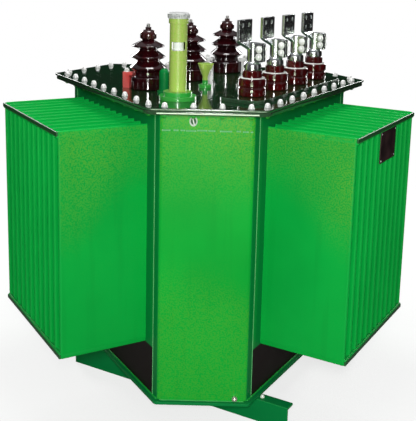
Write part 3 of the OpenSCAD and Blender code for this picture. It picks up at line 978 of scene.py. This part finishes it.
@dataclass
class TankShell(SubAssembly):
    """Corner walls, rim and gasket, with the welds that join the tank."""

    rounding: float = 1.5 * MM
    gasket_rounding: float = 1.0 * MM
    seam_r: float = 3 * MM
    seam_level: float = 1001 * MM
    seam_wobble: float = 1 * MM
    seam_margin: float = 6 * MM
    seam_runs: Span = (10 * MM, 55 * MM)
    seam_gaps: Span = (4 * MM, 16 * MM)
    seam_seed: int = 7
    joint_r: float = 4 * MM
    joint_inset: float = 8 * MM
    seam_sunk: float = 1.5 * MM

    def build(self) -> None:
        """Makes the plates and the welds, and paints the hidden filling."""
        for corner in Corner:
            self.dress(f"corner_sheet_{corner.word}", "tank_green", f"corner_wall_{corner.word}",
                       self.rounding)
        self.dress("rim_flange", "lid_green", "tank_rim", self.rounding)
        self.dress("rim_gasket", "gasket", "lid_gasket", self.gasket_rounding)
        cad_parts["tank_filling"].material_slots[0].material = self.finishes.by_name["filling"]
        low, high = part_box("corner_wall_front")
        self.corner_seams(low.z, high.z)
        self.joints(low.z, high.z)
        self.front_seam()

    def corner_seams(self, low: float, high: float) -> None:
        """Upright seams beside the corner walls.

        Args:
            low: height of the walls' foot.
            high: height of the walls' top.
        """
        # The seams take the paler weld paint, a painted highlight
        seams = Piece("corner_seams", "tank_green", "weld_glint")
        out = PLAN.long_apothem - self.seam_sunk
        for face in Face:
            half = PLAN.half(face) - PLAN.corner_flange
            for along in (-half, half):
                seams.bead(PLAN.at(face, out, along, low), PLAN.at(face, out, along, high), self.seam_r)
        seams.finish(self.finishes)

    def joints(self, low: float, high: float) -> None:
        """Beads round the tank's foot and under its rim.

        Args:
            low: height of the foot.
            high: height of the rim.
        """
        joints = Piece("foot_and_rim_welds", "tank_green")
        for level in (low, high):
            for side in (*Face, *Corner):
                half = PLAN.half(side) - self.joint_inset
                out = PLAN.apothem(side)
                joints.bead(PLAN.at(side, out, -half, level), PLAN.at(side, out, half, level), self.joint_r)
        joints.finish(self.finishes)

    def front_seam(self) -> None:
        """Broken weld across the front corner wall, where its upper strip is joined on."""
        # The seam takes the paler weld paint, a painted highlight
        seam = Piece("front_seam", "tank_green", "weld_glint")
        chance = random.Random(self.seam_seed)
        out = PLAN.short_apothem
        end = PLAN.half(Corner.FRONT) - self.seam_margin
        along = -end
        while along < end:
            length = min(chance.uniform(*self.seam_runs), end - along)
            level = self.seam_level + chance.uniform(-1, 1) * self.seam_wobble
            seam.bead(PLAN.at(Corner.FRONT, out, along, level),
                      PLAN.at(Corner.FRONT, out, along + length, level), self.seam_r)
            along += length + chance.uniform(*self.seam_gaps)
        seam.finish(self.finishes)


@dataclass
class FinBanks(SubAssembly):
    """Corrugated walls, the bars across the fin tips and the welded fin ends."""

    rounding: float = 0.6 * MM
    bar_rounding: float = 2 * MM
    count: int = 12
    pitch: float = 50 * MM
    depth: float = 298 * MM
    ripple: float = 8 * MM
    bead_r: float = 1.8 * MM
    bead_sides: int = 6
    bead_stop: float = 6 * MM
    bar_inset: float = 1 * MM
    bar_weld_r: float = 5 * MM

    def build(self) -> None:
        """Makes the three banks."""
        for face in Face:
            self.dress(f"fin_bank_{face.word}", "fin_green", f"fin_wall_{face.word}", self.rounding, steps=1)
            for level in ("top", "low"):
                self.dress(f"tip_bar_{face.word}_{level}", "bar_dark", f"fin_bar_{face.word}_{level}",
                           self.bar_rounding)
            self.end_welds(face)
            self.bar_welds(face)

    def end_welds(self, face: Face) -> None:
        """Bead along each pressed fin end.

        Args:
            face: the long face that carries the fins.
        """
        welds = Piece(f"fin_end_welds_{face.word}", "fin_green")
        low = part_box(f"fin_bar_{face.word}_low")[0].z - self.bar_inset
        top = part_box(f"fin_bar_{face.word}_top")[1].z + self.bar_inset
        foot = PLAN.long_apothem
        tip = PLAN.long_apothem + self.depth - self.bead_stop
        for along in row(self.count, self.pitch):
            for level in (low, top):
                welds.bead(PLAN.at(face, foot, along, level), PLAN.at(face, tip, along, level),
                           self.bead_r, self.ripple, self.bead_sides)
        welds.finish(self.finishes)

    def bar_welds(self, face: Face) -> None:
        """Bead along each bar's edge on the fin tips.

        Args:
            face: the long face that carries the fins.
        """
        welds = Piece(f"bar_welds_{face.word}", "fin_green")
        out = PLAN.long_apothem + self.depth
        first, *_, last = row(self.count, self.pitch)
        for level in (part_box(f"fin_bar_{face.word}_low")[1].z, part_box(f"fin_bar_{face.word}_top")[0].z):
            welds.bead(PLAN.at(face, out, first, level), PLAN.at(face, out, last, level),
                       self.bar_weld_r, self.ripple)
        welds.finish(self.finishes)


@dataclass
class Lid(SubAssembly):
    """Lid plate with its pad and the bolts along its edge."""

    rounding: float = 2 * MM
    bolt_inset: float = 30 * MM
    long_bolts: int = 9
    long_pitch: float = 89 * MM
    short_bolts: int = 4
    short_pitch: float = 88 * MM
    bolt: Bolt = Bolt(across=17 * MM, head=4 * MM, washer=10 * MM, dome=8 * MM)
    nut: Bolt = Bolt(across=17 * MM, head=8 * MM, washer=10 * MM, stub=4 * MM)

    def build(self) -> None:
        """Makes the plate, the pad and the bolts."""
        self.dress("lid_sheet", "lid_green", "lid_plate", self.rounding)
        self.dress("bushing_pad", "lid_green", "lv_pad", self.rounding)
        self.bolts()

    def bolts(self) -> None:
        """Domed bolts on the lid and their nuts under the rim."""
        heads = Piece("lid_bolts", "clamp_zinc")
        nuts = Piece("rim_nuts", "tank_green")
        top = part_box("lid_plate")[1].z
        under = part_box("tank_rim")[0].z
        flip = Matrix.Rotation(math.pi, 4, "X")
        rows = {Face: row(self.long_bolts, self.long_pitch), Corner: row(self.short_bolts, self.short_pitch)}
        for side in (*Face, *Corner):
            out = PLAN.apothem(side) + PLAN.lid_overhang - self.bolt_inset
            for along in rows[type(side)]:
                self.bolt.add(heads, Matrix.Translation(PLAN.at(side, out, along, top)))
                self.nut.add(nuts, Matrix.Translation(PLAN.at(side, out, along, under)) @ flip)
        heads.finish(self.finishes)
        nuts.finish(self.finishes)


@dataclass
class LowVoltageRow(SubAssembly):
    """Four low voltage bushings with their bolted terminals."""

    count: int = 4
    foot_r: float = 46 * MM
    foot_h: float = 58 * MM
    neck_r: float = 32 * MM
    groove: float = 4 * MM
    glaze_r: float = 6 * MM
    glaze_steps: int = 6
    sides: int = 64
    seal_r: float = 42 * MM
    seal_t: float = 4 * MM
    lug_rounding: float = 1.2 * MM
    ear_out: float = 29 * MM
    ear_half: float = 15 * MM
    bolt_levels: Span = (44 * MM, 68 * MM)
    bolt: Bolt = Bolt(across=17 * MM, head=6 * MM, washer=11.5 * MM, dome=4 * MM)
    nut: Bolt = Bolt(across=17 * MM, head=8 * MM, washer=11 * MM, stub=6 * MM, stub_r=5 * MM)

    def build(self) -> None:
        """Makes the porcelains, the terminals and the clamp bolts."""
        bolts = Piece("lv_clamp_bolts", "clamp_zinc")
        seals = Piece("lv_seals", "plug_white")
        for number in range(1, self.count + 1):
            self.porcelain(number, seals)
            self.dress(f"lv_lug_{number}", "terminal_metal", f"lv_terminal_{number}", self.lug_rounding)
            self.clamp_bolts(bolts, number)
        bolts.finish(self.finishes)
        seals.finish(self.finishes)

    def porcelain(self, number: int, seals: Piece) -> None:
        """Two-ringed porcelain with well rounded, glazed shoulders and a pale seal round the neck.

        Args:
            number: number of the bushing.
            seals: piece that takes the seal.
        """
        node = f"lv_bushing_{number}"
        low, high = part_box(node)
        waist = self.foot_h / 2
        outline = [(0.0, 0.0), (self.foot_r, 0.0), (self.foot_r, waist - self.groove),
                   (self.foot_r - self.groove, waist), (self.foot_r, waist + self.groove),
                   (self.foot_r, self.foot_h), (self.neck_r, self.foot_h),
                   (self.neck_r, high.z - low.z), (0.0, high.z - low.z)]
        place = Matrix.Translation((middle(node).x, middle(node).y, low.z))
        body = Piece(f"lv_porcelain_{number}", "lv_porcelain")
        body.turn(rounded(outline, self.glaze_r, self.glaze_steps), place, self.sides)
        sunk = self.foot_h - self.seal_t / 2
        seal = [(self.neck_r, sunk), (self.seal_r, sunk), (self.seal_r, sunk + self.seal_t),
                (self.neck_r, sunk + self.seal_t)]
        seals.turn(rounded(seal, self.seal_t / 2), place, self.sides)
        body.nodes.append(node)
        body.finish(self.finishes)

    def clamp_bolts(self, bolts: Piece, number: int) -> None:
        """Two bolts through the clamp's ear.

        Args:
            bolts: piece that takes the bolts.
            number: number of the bushing.
        """
        node = f"lv_bushing_{number}"
        axis = middle(node)
        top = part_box(node)[1].z
        for level in self.bolt_levels:
            for side, kind in ((-1, self.bolt), (1, self.nut)):
                seat = Vector((axis.x + self.ear_out, axis.y + side * self.ear_half, top + level))
                kind.add(bolts, Matrix.Translation(seat) @ Matrix.Rotation(-side * math.pi / 2, 4, "X"))


@dataclass
class HighVoltageRow(SubAssembly):
    """Three high voltage bushings, their caps and the clamps on their feet."""

    count: int = 3
    shed_rounding: float = 1.5 * MM
    shed_steps: int = 3
    cap_rounding: float = 0.8 * MM
    clamp_rounding: float = 1.2 * MM
    clamp_angle: float = 20.0
    clamp_out: float = 75 * MM
    clamp_nut: Bolt = Bolt(across=16 * MM, head=7 * MM, washer=10 * MM, stub=4 * MM, stub_r=5 * MM)
    stud: Bolt = Bolt(stub=20 * MM, stub_r=6.4 * MM)

    def build(self) -> None:
        """Makes the porcelains, caps, studs and clamps."""
        nuts = Piece("hv_clamp_nuts", "clamp_zinc")
        for number in range(1, self.count + 1):
            cap = f"hv_cap_{number}"
            self.dress(f"hv_porcelain_{number}", "hv_porcelain", f"hv_bushing_{number}",
                       self.shed_rounding, self.shed_steps)
            self.dress(f"hv_top_{number}", "hv_cap", cap, self.cap_rounding)
            foot = Vector((middle(cap).x, middle(cap).y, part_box(cap)[1].z - self.stud.stub))
            self.stud.add_thread(nuts, Matrix.Translation(foot))
            slot = "clamp_red" if number == 1 else "clamp_zinc"
            self.dress(f"hv_foot_clamp_{number}", slot, f"hv_clamp_{number}", self.clamp_rounding)
            self.clamp_nuts(nuts, number)
        nuts.finish(self.finishes)

    def clamp_nuts(self, nuts: Piece, number: int) -> None:
        """A nut on each clamp's leg.

        Args:
            nuts: piece that takes the nuts.
            number: number of the bushing.
        """
        node = f"hv_clamp_{number}"
        for turn in (0.0, 180.0):
            angle = math.radians(self.clamp_angle + turn)
            spot = middle(node) + Vector((math.cos(angle), math.sin(angle), 0)) * self.clamp_out
            self.clamp_nut.add(nuts, Matrix.Translation((spot.x, spot.y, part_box(node)[1].z)))


@dataclass
class FillerPipe(SubAssembly):
    """Filler and level pipe with its window, glass and cap."""

    pipe_rounding: float = 1.2 * MM
    glass_rounding: float = 0.8 * MM
    cap_rounding: float = 1.5 * MM
    ribs: int = 40
    rib_r: float = 1.4 * MM
    rib_sunk: float = 0.6
    rib_sides: int = 8
    rib_margin: float = 3 * MM

    def build(self) -> None:
        """Makes the pipe, the glass and the ribbed cap."""
        self.dress("level_pipe", "filler_green", "filler_pipe", self.pipe_rounding)
        self.dress("level_glass", "sight_glass", "filler_sight_glass", self.glass_rounding)
        cap = Piece("pipe_cap", "filler_cap").take("filler_cap", self.cap_rounding)
        self.grip(cap)
        cap.finish(self.finishes)

    def grip(self, cap: Piece) -> None:
        """Upright ribs round the cap.

        Args:
            cap: piece that takes the ribs.
        """
        low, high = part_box("filler_cap")
        axis = middle("filler_cap")
        out = (high.x - low.x) / 2 - self.rib_r * self.rib_sunk
        foot = low.z + self.rib_margin
        tall = high.z - low.z - 2 * self.rib_margin
        rib = [(0.0, 0.0), (self.rib_r, self.rib_r), (self.rib_r, tall - self.rib_r), (0.0, tall)]
        for index in range(self.ribs):
            angle = 2 * math.pi * index / self.ribs
            spot = Vector((axis.x + out * math.cos(angle), axis.y + out * math.sin(angle), foot))
            cap.turn(rib, Matrix.Translation(spot), self.rib_sides)


@dataclass
class SmallFittings(SubAssembly):
    """Tap changer, thermometer pocket, plain plate, plug and earth terminal."""

    rounding: float = 1.0 * MM
    thin_rounding: float = 0.8 * MM
    rivet_inset: float = 8 * MM
    rivet_r: float = 2.5 * MM
    rivet_rise: float = 1.5 * MM
    rivet_step: int = 18
    rivet_sides: int = 20
    plug_width: float = 0.8
    plug_edge: float = 1 * MM
    lip_foot: float = 5 * MM
    lip_top: float = 8 * MM
    lip_land: Span = (2 * MM, 4 * MM)
    lip_inner: float = 5.5 * MM
    lip_floor: float = 3 * MM
    well_inset: float = 5.6 * MM
    well_levels: Span = (2 * MM, 3.4 * MM)
    pin_lean: float = 14.0
    pin_r: float = 1.8 * MM
    pin_point: float = 1.5 * MM
    pin_share: float = 0.7
    pin_out: float = 5 * MM
    pin_sides: int = 12

    def build(self) -> None:
        """Makes the fittings and their fasteners."""
        self.dress("tap_knob", "filler_green", "tap_changer", self.rounding)
        # The pocket takes a darker copy of the tank paint, a painted shade
        self.dress("oil_pocket", "tank_green", "thermometer_pocket", self.rounding, look="pocket_shaded_green")
        self.dress("plain_plate", "plate_dark", "rating_plate", self.thin_rounding)
        self.plug()
        self.dress("earth_boss", "earth_metal", "earth_terminal", self.thin_rounding)
        self.rivets()

    def plug(self) -> None:
        """Oval ring with a sunk middle and a slanting pin across it."""
        low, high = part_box("front_plug")
        half = (high.z - low.z) / 2
        outward = Matrix.Rotation(math.radians(Corner.FRONT.value), 4, "Z")
        inside = outward.inverted() @ (middle("front_plug") - PLAN.axis)
        spot = PLAN.at(Corner.FRONT, PLAN.short_apothem, inside.y, inside.z)
        seat = Matrix.Translation(spot) @ outward
        place = seat @ Matrix.Rotation(math.pi / 2, 4, "Y") @ Matrix.Diagonal((1, self.plug_width, 1, 1))
        outer, inner = self.lip_land
        lip = [(0.0, 0.0), (half, 0.0), (half, self.lip_foot), (half - outer, self.lip_top),
               (half - inner, self.lip_top), (half - self.lip_inner, self.lip_floor), (0.0, self.lip_floor)]
        ring = Piece("corner_plug", "plug_white").turn(rounded(lip, self.plug_edge), place)
        ring.nodes.append("front_plug")
        ring.finish(self.finishes)
        well = half - self.well_inset
        foot, top = self.well_levels
        floor = Piece("plug_well", "gasket")
        floor.turn([(0.0, foot), (well, foot), (well, top), (0.0, top)], place).finish(self.finishes)
        lean = seat @ Matrix.Rotation(math.radians(self.pin_lean), 4, "X")
        reach = half * self.pin_share
        shank = reach - self.pin_point
        pin = Piece("plug_pin", "clamp_zinc")
        pin.turn([(0.0, -reach), (self.pin_r, -shank), (self.pin_r, shank), (0.0, reach)],
                 lean @ Matrix.Translation((self.pin_out, 0, 0)), self.pin_sides).finish(self.finishes)

    def rivets(self) -> None:
        """Four round rivets in the plate's corners."""
        rivets = Piece("plate_rivets", "clamp_zinc")
        low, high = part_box("rating_plate")
        outward = Matrix.Rotation(math.pi / 2, 4, "Y")
        head = dome_profile(self.rivet_r, self.rivet_rise, self.rivet_step)
        for y in (low.y + self.rivet_inset, high.y - self.rivet_inset):
            for z in (low.z + self.rivet_inset, high.z - self.rivet_inset):
                rivets.turn(head, Matrix.Translation((high.x, y, z)) @ outward, self.rivet_sides)
        rivets.finish(self.finishes)


@dataclass(frozen=True)
class Lamp:
    """Soft box aimed at the tank, placed from the tank's axis as the camera sees it."""

    name: str
    right: float
    back: float
    height: float
    wide: float
    tall: float
    power: float
    tint: Colour = (1.0, 1.0, 1.0)


@dataclass
class Studio:
    """Pale floor, white backdrop, soft lights near the camera and the camera itself."""

    floor_size: float = 12.0
    floor_clear: float = 1.0
    floor_end: float = 3.2
    floor_share: float = 0.25
    floor_tones: Tuple[Colour, Colour] = ((0.90, 0.90, 0.89), (0.94, 0.94, 0.93))
    floor_clouds: Grain = Grain(1.2, 4.0)
    floor_roughness: float = 0.85
    white: Colour = (1.0, 1.0, 1.0)
    room_tones: Tuple[Colour, Colour] = ((0.008, 0.008, 0.008), (0.30, 0.31, 0.32))
    ceiling: Span = (0.25, 0.9)
    lens: float = 72.35
    sensor: float = 36.0
    far: float = 100.0
    shift_y: float = -0.205
    camera_back: float = 3.0781
    camera_right: float = 0.0098
    camera_height: float = 1.5344
    front: float = 30.0
    heading: float = 0.2
    pitch: float = 11.29
    roll: float = 1.31
    aim_height: float = 0.7
    lamps: Tuple[Lamp, ...] = (
        Lamp("strip", right=0.0, back=3.2, height=1.72, wide=0.3, tall=0.4, power=56.0),
        Lamp("low_card", right=0.0, back=2.5, height=0.71, wide=0.72, tall=0.20, power=11.0,
             tint=(0.82, 1.0, 0.72)),
        Lamp("overhead", right=0.0, back=0.2, height=3.4, wide=1.0, tall=0.8, power=32.0),
        Lamp("left", right=-2.6, back=1.5, height=1.5, wide=1.0, tall=1.6, power=1.5),
        Lamp("right", right=2.6, back=1.5, height=1.5, wide=1.0, tall=1.6, power=1.5),
        Lamp("back_left", right=-2.2, back=-3.4, height=2.3, wide=1.2, tall=1.4, power=90.0),
        Lamp("back_right", right=2.2, back=-3.4, height=2.3, wide=1.2, tall=1.4, power=90.0),
    )

    def build(self) -> None:
        """Makes floor, world, lights and camera."""
        self.floor()
        self.world()
        self.camera()
        self.lights()

    def floor(self) -> None:
        """Pale floor at ground level that fades into the white backdrop."""
        mesh = bpy.data.meshes.new("floor")
        half = self.floor_size / 2
        corners = [(-half, -half, 0), (half, -half, 0), (half, half, 0), (-half, half, 0)]
        mesh.from_pydata(corners, [], [(0, 1, 2, 3)])
        floor = link("floor", mesh)
        sweep = Shader.named("floor_sweep")
        reach = sweep.vector("LENGTH", sweep.coords(), out="Value")
        tone = sweep.blend(sweep.noise(self.floor_clouds), *(rgba(tone) for tone in self.floor_tones))
        share = (1 - reach.above(self.floor_clear, self.floor_end)) * self.floor_share
        mesh.materials.append(sweep.close(Base_Color=tone, Roughness=self.floor_roughness, Alpha=share))

    def world(self) -> None:
        """White behind the object; a dark room with a brighter ceiling for its light and reflections."""
        room = Shader(bpy.data.worlds.new("studio"))
        bpy.context.scene.world = room.owner
        ceiling = room.upright(room.coords("Generated")).above(*self.ceiling)
        tone = room.blend(ceiling, *(rgba(tone) for tone in self.room_tones))
        dim = room.add("ShaderNodeBackground", {}, {"Color": tone})
        white = room.add("ShaderNodeBackground", {}, {"Color": rgba(self.white)})
        seen = room.add("ShaderNodeLightPath", {}, {}, "Is Camera Ray")
        both = room.add("ShaderNodeMixShader", {}, {0: seen, 1: dim, 2: white})
        room.add("ShaderNodeOutputWorld", {}, {"Surface": both}, None)

    def spot(self, right: float, back: float, height: float) -> Vector:
        """Point given from the tank's axis as the camera sees it."""
        turned = Matrix.Rotation(math.radians(self.front), 3, "Z") @ Vector((right, -back, height))
        return turned + PLAN.axis

    def camera(self) -> None:
        """Camera in front of the front corner, a little above the lid."""
        lens = bpy.data.cameras.new("camera")
        lens.lens = self.lens
        lens.sensor_width = self.sensor
        lens.shift_y = self.shift_y
        lens.clip_end = self.far
        camera = link("camera", lens)
        aim = (Matrix.Rotation(math.radians(self.front + self.heading), 4, "Z")
               @ Matrix.Rotation(math.radians(90 - self.pitch), 4, "X")
               @ Matrix.Rotation(math.radians(self.roll), 4, "Z"))
        place = self.spot(self.camera_right, self.camera_back, self.camera_height)
        camera.matrix_world = Matrix.Translation(place) @ aim
        bpy.context.scene.camera = camera

    def lights(self) -> None:
        """Soft boxes, all aimed at the middle of the tank."""
        target = self.spot(0, 0, self.aim_height)
        for lamp in self.lamps:
            box = bpy.data.lights.new(lamp.name, "AREA")
            box.shape = "RECTANGLE"
            box.size = lamp.wide
            box.size_y = lamp.tall
            box.energy = lamp.power
            box.color = lamp.tint
            light = link(lamp.name, box)
            place = self.spot(lamp.right, lamp.back, lamp.height)
            aim = (target - place).to_track_quat("-Z", "Y").to_matrix().to_4x4()
            light.matrix_world = Matrix.Translation(place) @ aim


def main() -> None:
    """Builds the transformer piece by piece, then the studio."""
    logging.basicConfig(level=logging.INFO, format="%(name)s %(message)s")
    finishes = Finishes()
    for assembly in (FootFrame, TankShell, FinBanks, Lid, LowVoltageRow, HighVoltageRow, FillerPipe,
                     SmallFittings):
        assembly(finishes).build()
    Studio().build()
    bpy.context.scene.view_settings.view_transform = "Standard"


if __name__ == "__main__":
    main()
